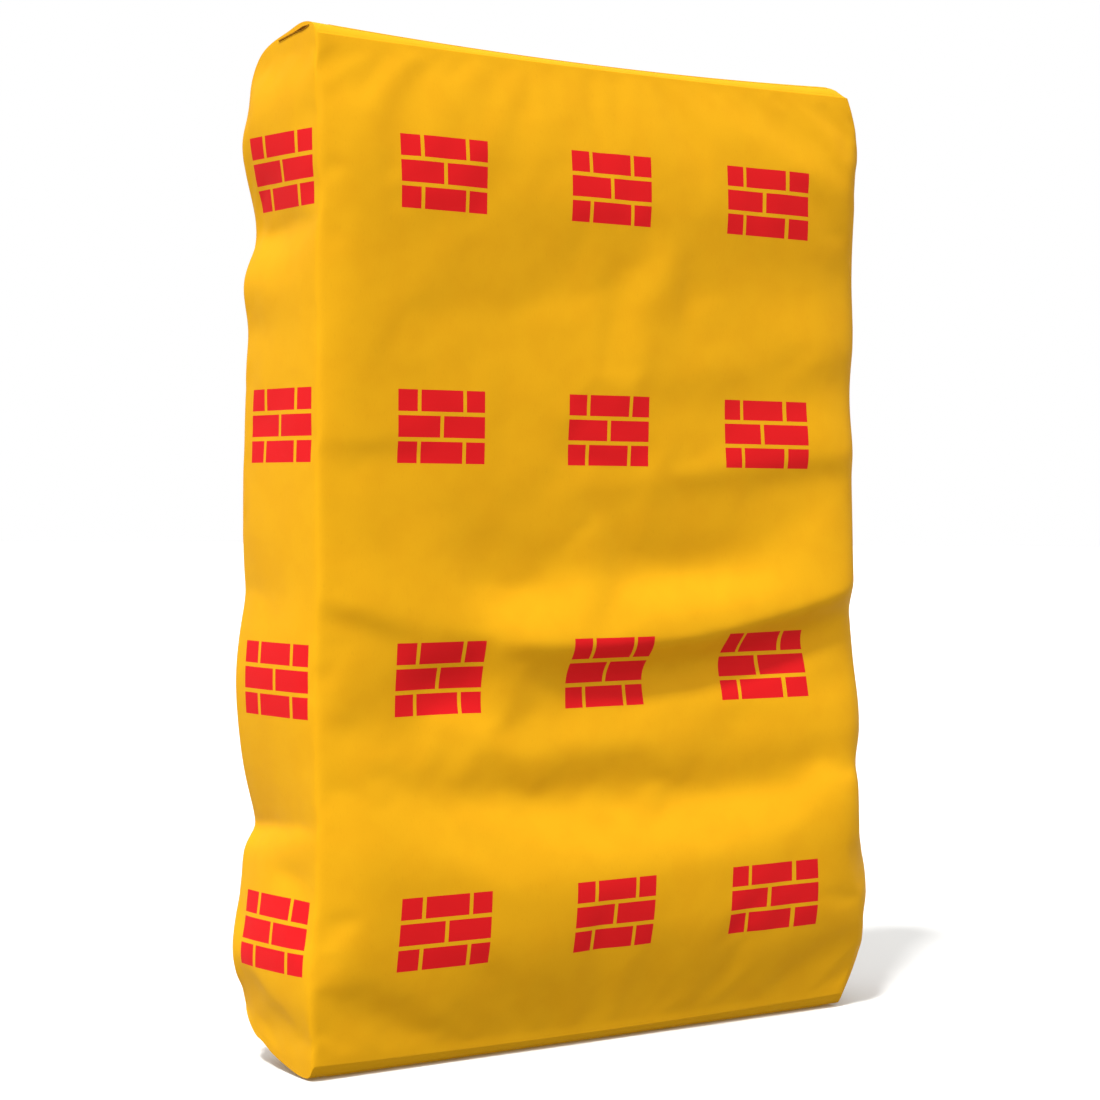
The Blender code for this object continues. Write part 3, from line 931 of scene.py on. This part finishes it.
@dataclass(frozen=True)
class DryGroutPowder(Finish):
    """Ground cement and fine sand, poured and settled: dead matte grey, with darker and lighter grains."""

    name: str = "dry_grout_powder"
    cement: str = "#8E8B84"
    dark_grain: str = "#6F6C66"
    sand: str = "#B3A994"
    grains: Pattern = Pattern(0.6, detail=1.0, shows=(0.62, 0.72))
    clumps: Pattern = Pattern(9.0, detail=5.0, rough=0.65, shows=(0.35, 0.70))
    clump_depth: float = 0.0006
    roughness: float = 0.96
    sheen_level: float = 0.1

    def surface_on(self, tree: Tree, place: Socket) -> Surface:
        """Darker clumps and lighter grains of sand.

        Args:
            tree: The material's node tree.
            place: Object coordinates.

        Returns:
            What the shader gets.
        """
        grains, clumps = self.grains.strength_on(tree, place), self.clumps.strength_on(tree, place)
        at = work_out(tree, {"grains": grains, "clumps": clumps}, (
            ("dark", "SMOOTHSTEP", "clumps", *self.clumps.shows),
            ("light", "SMOOTHSTEP", "grains", *self.grains.shows)))
        colour = layered(tree, self.cement, ((at["dark"], self.dark_grain), (at["light"], self.sand)))
        return Surface(colour, self.roughness, ((clumps, self.clump_depth),))


def broad_part(mesh: bpy.types.Mesh, moves: Array, steps: int) -> Array:
    """The broad part of a movement: each point's share is evened with its neighbours' again and again.

    Args:
        mesh: The mesh that moved.
        moves: How far each point moved, one row each.
        steps: How often the shares are evened. More steps leave a broader part.

    Returns:
        The broad part, one row for each point.
    """
    edges = np.empty(len(mesh.edges) * 2, np.int32)
    mesh.edges.foreach_get("vertices", edges)
    start, end = edges.reshape(-1, 2).T
    into, out_of = np.concatenate([start, end]), np.concatenate([end, start])
    count = np.bincount(into, minlength=len(moves))[:, None]
    for _ in range(steps):
        sums = [np.bincount(into, weights=moves[out_of, axis], minlength=len(moves)) for axis in range(3)]
        moves = np.stack(sums, axis=1) / count
    return moves


@dataclass(frozen=True)
class PaperRelease:
    """A short cloth simulation of the filled paper, of which the wrinkles are kept.

    The powder presses on stiff paper that has a little more length than the block needs, so the paper
    puckers. The broad swell of the simulation is left out, because the folds already give it.
    """

    pressure: float = 2.0
    frames: int = 12
    growth: float = 0.010
    stiffness: float = 60.0
    bending: float = 2.0
    broad_steps: int = 60
    share: float = 0.55
    cap: float = 0.0020
    held_reach: float = 0.006
    mass: float = 0.3
    quality: int = 5

    def pucker(self, shell: bpy.types.Object, form: SackForm) -> None:
        """Runs the simulation on the shell and adds its wrinkles to the shell's points.

        Args:
            shell: The shell, which ends as a plain mesh.
            form: The rule that the shell was lofted by.
        """
        before = rows_of(shell.data.vertices)
        low, high = form.bottom_crease + self.held_reach, form.top_crease - self.held_reach
        held = np.flatnonzero((before[:, 2] < low) | (before[:, 2] > high))
        shell.vertex_groups.new(name="held").add(held.tolist(), 1.0, "REPLACE")
        cloth = shell.modifiers.new("paper", "CLOTH")
        paper = cloth.settings
        paper.quality, paper.mass = self.quality, self.mass
        paper.tension_stiffness = paper.compression_stiffness = self.stiffness
        paper.shear_stiffness = self.stiffness / 2
        paper.bending_stiffness = self.bending
        paper.use_pressure = True
        paper.uniform_pressure_force = self.pressure
        paper.shrink_min = -self.growth
        paper.vertex_group_mass = "held"
        paper.effector_weights.gravity = 0.0
        for number in range(1, self.frames + 1):
            bpy.context.scene.frame_set(number)
        settle(shell)
        bpy.context.scene.frame_set(1)
        shell.vertex_groups.clear()
        moves = rows_of(shell.data.vertices) - before
        wrinkles = self.share * (moves - broad_part(shell.data, moves, self.broad_steps))
        length = np.maximum(np.linalg.norm(wrinkles, axis=1, keepdims=True), TINY)
        write_points(shell.data, before + wrinkles / length * self.cap * np.tanh(length / self.cap))
        LOG.info("wrinkles: %.2f mm on average, %.2f mm at most", length.mean() / MM, length.max() / MM)


@dataclass
class FilledSack:
    """The paper sack itself, swollen by the powder that fills it."""

    form: SackForm = SackForm()
    rows: int = 124
    across: int = 68
    deep: int = 20

    def build(self) -> bpy.types.Object:
        """Lofts the sack, lets it out and subdivides it once.

        Returns:
            The sack, as a plain mesh.
        """
        sack = ShellGrid(self.form, self.rows, self.across, self.deep).build("sack_paper")
        PaperRelease().pucker(sack, self.form)
        smooth = sack.modifiers.new("finer", "SUBSURF")
        smooth.levels = smooth.render_levels = 1
        settle(sack)
        return sack

    def dress(self, sack: bpy.types.Object) -> None:
        """Gives the sack its paper and takes the place of the plain solid.

        Args:
            sack: The finished sack.
        """
        sack.data.materials.clear()
        sack.data.materials.append(PrintedKraftPaper().make())
        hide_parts("paper_sack")
        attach(sack, BODY)


def strip_tree(columns: int = 181, rows: int = 31) -> tuple[Tree, dict[str, str]]:
    """Builds the node tree that lays a strip of paper on a surface.

    A grid of the strip's size, with teeth cut in its short ends, is dropped on the surface along the
    Z axis, held a little off it and given the thickness of the paper.

    Args:
        columns: Points of the grid along the strip.
        rows: Points of the grid across it.

    Returns:
        The tree, and the socket identifier of each of its named inputs.
    """
    tree = bpy.data.node_groups.new("paper_strip_laid_on_sack", "GeometryNodeTree")
    tree.interface.new_socket("Geometry", in_out="OUTPUT", socket_type="NodeSocketGeometry")
    numbers = ("Length", "Width", "Down", "Lift", "Thickness", "Tooth", "Tooth Pitch")
    kinds = {"Surface": "Object", "Centre": "Vector", "Paper": "Material"} | dict.fromkeys(numbers, "Float")
    sockets = {}
    for name, kind in kinds.items():
        made = tree.interface.new_socket(name, in_out="INPUT", socket_type="NodeSocket" + kind)
        sockets[name] = made.identifier
    given = add_node(tree, "NodeGroupInput").outputs
    spot = add_node(tree, "GeometryNodeInputPosition").outputs["Position"]
    place = add_node(tree, "ShaderNodeSeparateXYZ", inputs={"Vector": spot}).outputs
    known = {"x": place["X"], "y": place["Y"], "length": given["Length"], "tooth": given["Tooth"],
             "pitch": given["Tooth Pitch"], "down": given["Down"], "lift": given["Lift"]}
    # the share of the half length past which a point is in an end row, the fall of the strip at most, and
    # the gap that is closed where its two faces meet
    end_row, fall, weld = 0.995, 2.0, 0.01 * MM
    at = work_out(tree, known, (
        ("half", "MULTIPLY", "length", 0.5),
        ("last", "MULTIPLY", "half", end_row),
        ("off_middle", "ABSOLUTE", "x"),
        ("at_end", "GREATER_THAN", "off_middle", "last"),
        ("wave", "PINGPONG", "y", "pitch"),
        ("tooth_wave", "MULTIPLY", "wave", "tooth"),
        ("depth", "DIVIDE", "tooth_wave", "pitch"),
        ("notch", "MULTIPLY", "depth", "at_end"),
        ("side", "SIGN", "x"),
        ("inward", "MULTIPLY", "notch", "side"),
        ("toothed", "SUBTRACT", "x", "inward"),
        ("up", "MULTIPLY", "down", -1.0),
        ("turned", "MULTIPLY", "y", "up"),
        ("off", "MULTIPLY", "lift", "up")))
    ways = ({"X": at["toothed"], "Y": at["turned"]}, {"Z": given["Down"]}, {"Z": at["up"]}, {"Z": at["off"]})
    spread, down, up, off = (
        add_node(tree, "ShaderNodeCombineXYZ", inputs=way).outputs["Vector"] for way in ways)
    grid = add_node(tree, "GeometryNodeMeshGrid", inputs={
        "Size X": given["Length"], "Size Y": given["Width"], "Vertices X": columns, "Vertices Y": rows})
    flat = add_node(tree, "GeometryNodeStoreNamedAttribute", {"data_type": "FLOAT2", "domain": "CORNER"}, {
        "Geometry": grid.outputs["Mesh"], "Name": PAPER_MAP, "Value": spot})
    start = add_node(tree, "ShaderNodeVectorMath", {"operation": "ADD"}, {0: spread, 1: given["Centre"]})
    hung = add_node(tree, "GeometryNodeSetPosition", inputs={
        "Geometry": flat.outputs["Geometry"], "Position": start.outputs["Vector"]})
    surface = add_node(tree, "GeometryNodeObjectInfo", inputs={"Object": given["Surface"]})
    ray = add_node(tree, "GeometryNodeRaycast", inputs={
        "Target Geometry": surface.outputs["Geometry"], "Ray Direction": down, "Ray Length": fall}).outputs
    landed = add_node(tree, "ShaderNodeVectorMath", {"operation": "ADD"}, {0: ray["Hit Position"], 1: off})
    laid = add_node(tree, "GeometryNodeSetPosition", inputs={
        "Geometry": hung.outputs["Geometry"], "Selection": ray["Is Hit"],
        "Position": landed.outputs["Vector"]})
    under = add_node(tree, "GeometryNodeFlipFaces", inputs={"Mesh": laid.outputs["Geometry"]})
    over = add_node(tree, "GeometryNodeExtrudeMesh", inputs={
        "Mesh": laid.outputs["Geometry"], "Offset": up, "Offset Scale": given["Thickness"],
        "Individual": False})
    both = add_node(tree, "GeometryNodeJoinGeometry", inputs={"Geometry": over.outputs["Mesh"]})
    tree.links.new(under.outputs["Mesh"], both.inputs["Geometry"])
    closed = add_node(tree, "GeometryNodeMergeByDistance", inputs={
        "Geometry": both.outputs["Geometry"], "Distance": weld})
    real = add_node(tree, "GeometryNodeRealizeInstances", inputs={"Geometry": closed.outputs["Geometry"]})
    paper = add_node(tree, "GeometryNodeSetMaterial", inputs={
        "Geometry": real.outputs["Geometry"], "Material": given["Paper"]})
    add_node(tree, "NodeGroupOutput", inputs={"Geometry": paper.outputs["Geometry"]})
    return tree, sockets


@dataclass(frozen=True)
class ValveSleeve:
    """The flattened paper tube of the valve, its mouth a little agape under the lip of the top end."""

    width: float = 0.034
    thickness: float = 0.0006
    paper: float = 0.00020
    mouth: float = -0.2016
    end: float = -0.130
    depth: float = 0.025
    under_top: float = 0.0040
    drop: float = 3.2
    edge_power: int = 10
    side_points: int = 33
    agape: float = 0.0007
    agape_reach: float = 0.012
    agape_side: float = 0.30
    agape_spread: float = 0.16
    fine_run: float = 0.012
    fine_rings: int = 9
    coarse_start: float = 0.016
    coarse_rings: int = 12
    clearance: float = 0.0002
    slot_out: float = 0.010
    slot_in: float = 0.014
    slot_rings: int = 13
    form: SackForm = SackForm()

    @property
    def half_length(self) -> float:
        """Half of the sleeve's length."""
        return (self.end - self.mouth) / 2

    def axes(self) -> Matrix:
        """Where the sleeve lies: along the width, its two long edges equally far under the top end.

        Returns:
            The sleeve's own axes in those of the scene.
        """
        form = self.form
        edges = np.array([self.depth - self.width / 2, self.depth + self.width / 2])
        rise = np.interp(edges, form.end_depths, form.top_rise)
        tilt = math.atan2(rise[1] - rise[0], self.width)
        centre = ((self.mouth + self.end) / 2 + form.stand_x, self.depth - form.depth / 2 + form.stand_y,
                  form.top_crease + float(rise.mean()) - self.under_top)
        turn = Matrix.Rotation(math.radians(self.drop), 4, "Y") @ Matrix.Rotation(tilt, 4, "X")
        return Matrix.Translation(centre) @ turn

    def ring(self, along: float, offset: float) -> Array:
        """One closed cross-section of the sleeve.

        Args:
            along: Place along the sleeve, measured from its middle.
            offset: How far outside the paper's outer face it lies.

        Returns:
            The points of the ring, in the sleeve's own axes.
        """
        side = np.linspace(0.0, math.pi, self.side_points)
        across = -np.cos(side) * (self.width / 2 + offset)
        fold = np.sqrt(np.clip(1.0 - np.abs(np.cos(side)) ** self.edge_power, 0.0, 1.0))
        from_side = (across / self.width + self.agape_side) / self.agape_spread
        from_mouth = (along + self.half_length) / self.agape_reach
        gape = self.agape * np.exp(-(from_side**2)) * math.exp(-(from_mouth**2))
        half = (self.thickness / 2 + gape) * fold + offset
        loop = np.concatenate([np.stack([across, half], axis=1), np.stack([across, -half], axis=1)[-2:0:-1]])
        return np.column_stack([np.full(len(loop), along), loop])

    def tube(self, name: str, rings: list[Array], capped: bool) -> bpy.types.Object:
        """Skins a run of rings.

        Args:
            name: Name of the new object.
            rings: The rings, in order.
            capped: Whether the ends are filled. If not, the last ring is joined to the first.

        Returns:
            The object, its normals outwards.
        """
        shape = bmesh.new()
        rows = [[shape.verts.new(point) for point in ring] for ring in rings]
        pairs = list(zip(rows, rows[1:])) + ([] if capped else [(rows[-1], rows[0])])
        for low, high in pairs:
            for k, vert in enumerate(low):
                nxt = (k + 1) % len(low)
                shape.faces.new((vert, low[nxt], high[nxt], high[k]))
        if capped:
            shape.faces.new(rows[0])
            shape.faces.new(rows[-1])
        bmesh.ops.recalc_face_normals(shape, faces=shape.faces)
        shape.transform(self.axes())
        mesh = bpy.data.meshes.new(name)
        shape.to_mesh(mesh)
        shape.free()
        return placed(name, mesh)

    def cut_slot(self, sack: bpy.types.Object) -> None:
        """Cuts the slot that the sleeve passes through out of the sack's side.

        Args:
            sack: The sack, which ends as a plain mesh.
        """
        mouth = -self.half_length
        places = np.linspace(mouth - self.slot_out, mouth + self.slot_in, self.slot_rings)
        cutter = self.tube("valve_slot", [self.ring(x, self.clearance) for x in places], capped=True)
        boolean = sack.modifiers.new("slot", "BOOLEAN")
        boolean.operation, boolean.solver, boolean.object = "DIFFERENCE", "EXACT", cutter
        settle(sack)
        bpy.data.objects.remove(cutter)

    def build(self) -> bpy.types.Object:
        """Makes the sleeve and takes the place of the plain solid.

        Returns:
            The sleeve, open at both ends.
        """
        half = self.half_length
        places = np.concatenate([np.linspace(-half, -half + self.fine_run, self.fine_rings),
                                 np.linspace(-half + self.coarse_start, half, self.coarse_rings)])
        rings = [self.ring(x, 0.0) for x in places] + [self.ring(x, -self.paper) for x in places[::-1]]
        sleeve = self.tube("valve_sleeve_paper", rings, capped=False)
        sleeve.data.shade_smooth()
        sleeve.data.set_sharp_from_angle(angle=SHARP_ANGLE)
        sleeve.data.materials.append(DyedKraftPaper().make())
        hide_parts("valve_sleeve")
        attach(sleeve, BODY)
        return sleeve


@dataclass(frozen=True)
class CoverPatch:
    """The strip of paper pasted over one folded end."""

    end: End
    name: str
    node: str
    depths: tuple[float, float]
    half_length: float = 0.188
    lift: float = 0.0001
    thickness: float = 0.00015
    tooth: float = 0.0012
    tooth_pitch: float = 0.0030
    away: float = 1.0
    # a ray that meets an edge of the sack's mesh can miss it, so the strip hangs this far beside the middle
    off_grid: float = 0.02 * MM
    form: SackForm = SackForm()

    def build(self, sack: bpy.types.Object, tree: Tree, sockets: dict[str, str],
              paper: bpy.types.Material) -> bpy.types.Object:
        """Lays the strip on the sack.

        Args:
            sack: The finished paper sack.
            tree: The node tree that lays a strip.
            sockets: The identifier of each of the tree's inputs, by name.
            paper: The strip's material.

        Returns:
            The strip, as a plain closed mesh that takes the place of its CAD node.
        """
        down = -1.0 if self.end is End.TOP else 1.0
        middle = sum(self.depths) / 2 - self.form.depth / 2 + self.form.stand_y
        centre = (self.form.stand_x + self.off_grid, middle + self.off_grid, -down * self.away)
        values = {"Surface": sack, "Centre": centre, "Length": 2 * self.half_length,
                  "Width": self.depths[1] - self.depths[0], "Down": down, "Lift": self.lift,
                  "Thickness": self.thickness, "Tooth": self.tooth, "Tooth Pitch": self.tooth_pitch,
                  "Paper": paper}
        strip = placed(self.name, bpy.data.meshes.new(self.name))
        nodes = strip.modifiers.new("laid", "NODES")
        nodes.node_group = tree
        for name, value in values.items():
            nodes[sockets[name]] = value
        settle(strip)
        # a point that misses the sack stays where the strip hung
        missed = int((np.abs(rows_of(strip.data.vertices)[:, 2]) > 0.9 * self.away).sum())
        if missed:
            raise ValueError(f"{self.name}: {missed} points miss the sack")
        strip.data.shade_smooth()
        strip.data.set_sharp_from_angle(angle=SHARP_ANGLE)
        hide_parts(self.node)
        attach(strip, BODY)
        return strip


@dataclass
class PowderCore:
    """The dry powder inside, a little behind the paper."""

    form: SackForm = SackForm()
    rows: int = 60
    across: int = 40
    deep: int = 12
    inset: float = 0.003

    def build(self) -> bpy.types.Object:
        """Makes the core and takes the place of the plain solid.

        Returns:
            The core, as a closed mesh.
        """
        core = ShellGrid(self.form, self.rows, self.across, self.deep, self.inset).build("grout_powder")
        core.data.materials.append(DryGroutPowder().make())
        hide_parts("grout_fill")
        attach(core, BODY)
        return core


@dataclass(frozen=True)
class Studio:
    """A pale floor, a soft lamp, light from all round and the camera."""

    camera_place: tuple[float, float, float] = (-0.9771, -1.3256, 0.3312)
    camera_turn: float = -35.83
    camera_pitch: float = -1.09
    camera_roll: float = 0.28
    lens: float = 86.7
    sensor: float = 36.0
    key_direction: tuple[float, float, float] = (-0.42, -0.255, 0.86)
    key_softness: float = 7.0
    key_strength: float = 3.0
    key_distance: float = 2.5
    room_light: float = 0.62
    room_contrast: float = 0.58
    floor_size: float = 40.0
    floor_colour: str = "#F2F2F0"
    floor_roughness: float = 0.9
    dome_radius: float = 18.0
    dome_segments: int = 48

    def build(self) -> None:
        """Sets the whole stage."""
        self.add_floor()
        self.add_backdrop()
        self.add_camera()
        self.add_key()
        self.add_room()
        bpy.context.scene.view_settings.view_transform = "Standard"

    def dressed(self, thing: bpy.types.Object, name: str, finish: str, values: dict[str, object]) -> None:
        """Names a thing of the stage and gives it a plain material.

        Args:
            thing: The floor or the dome.
            name: Its name.
            finish: Its material's name.
            values: The material's inputs and their values.
        """
        thing.name = name
        material = bpy.data.materials.new(finish)
        material.use_nodes = True
        for key, value in values.items():
            material.node_tree.nodes["Principled BSDF"].inputs[key].default_value = value
        thing.data.materials.append(material)

    def add_floor(self) -> None:
        """A wide pale floor at the height that the sack stands on."""
        bpy.ops.mesh.primitive_plane_add(size=self.floor_size, location=(0.0, 0.0, 0.0))
        floor = bpy.context.object
        floor.visible_diffuse = False
        self.dressed(floor, "studio_floor", "pale_floor", {
            "Base Color": linear(self.floor_colour), "Roughness": self.floor_roughness})

    def add_backdrop(self) -> None:
        """A white dome far behind everything, which only the camera sees."""
        bpy.ops.mesh.primitive_uv_sphere_add(
            radius=self.dome_radius, segments=self.dome_segments, ring_count=self.dome_segments // 2)
        dome = bpy.context.object
        dome.data.flip_normals()
        for sight in ("visible_diffuse", "visible_glossy", "visible_transmission", "visible_shadow"):
            setattr(dome, sight, False)
        self.dressed(dome, "studio_dome", "white_backdrop", {
            "Base Color": linear("#000000"), "Specular IOR Level": 0.0, "Emission Color": linear("#FFFFFF"),
            "Emission Strength": 1.0})

    def add_camera(self) -> None:
        """The camera at the photograph's place: turned, then pitched, then rolled a little."""
        data = bpy.data.cameras.new("camera")
        data.lens, data.sensor_width = self.lens, self.sensor
        camera = placed("camera", data)
        turn = Matrix.Rotation(math.radians(self.camera_turn), 3, "Z")
        pitch = Matrix.Rotation(math.radians(90.0 + self.camera_pitch), 3, "X")
        roll = Matrix.Rotation(math.radians(self.camera_roll), 3, "Z")
        camera.location = self.camera_place
        camera.rotation_euler = (turn @ pitch @ roll).to_euler()
        bpy.context.scene.camera = camera

    def add_key(self) -> None:
        """A distant soft lamp in front of the sack, to its left and above."""
        data = bpy.data.lights.new("key", "SUN")
        data.angle, data.energy = math.radians(self.key_softness), self.key_strength
        lamp = placed("key", data)
        towards = Vector(self.key_direction)
        lamp.location = towards * self.key_distance
        lamp.rotation_euler = towards.to_track_quat("Z", "Y").to_euler()

    def add_room(self) -> None:
        """White light from all round, strongest from the side of the key lamp, so that overhangs darken."""
        world = bpy.data.worlds.new("studio")
        bpy.context.scene.world = world
        world.use_nodes = True
        tree = world.node_tree
        towards = tuple(Vector(self.key_direction).normalized())
        share = add_node(tree, "ShaderNodeVectorMath", {"operation": "DOT_PRODUCT"}, {
            0: add_node(tree, "ShaderNodeTexCoord").outputs["Generated"], 1: towards})
        light = add_node(tree, "ShaderNodeMapRange", inputs={
            "Value": share.outputs["Value"], "From Min": -1.0, "From Max": 1.0,
            "To Min": self.room_light - self.room_contrast, "To Max": self.room_light + self.room_contrast})
        background = tree.nodes["Background"].inputs
        tree.links.new(light.outputs["Result"], background["Strength"])
        background["Color"].default_value = linear("#FFFFFF")


def main() -> None:
    """Builds the scene piece by piece and reports each."""
    logging.basicConfig(level=logging.INFO, format="%(name)s: %(message)s")
    Studio().build()
    sack, valve = FilledSack(), ValveSleeve()
    paper = sack.build()
    valve.cut_slot(paper)
    sack.dress(paper)
    pieces = [paper, valve.build()]
    tree, sockets = strip_tree()
    strip_paper = PatchPaper().make()
    for patch in (CoverPatch(End.TOP, "top_patch_paper", "top_cover_patch", (0.005, 0.047)),
                  CoverPatch(End.BOTTOM, "bottom_patch_paper", "bottom_cover_patch", (0.005, 0.061))):
        pieces.append(patch.build(paper, tree, sockets, strip_paper))
    pieces.append(PowderCore().build())
    for piece in pieces:
        LOG.info("%s: %d faces", piece.name, len(piece.data.polygons))


if __name__ == "__main__":
    main()
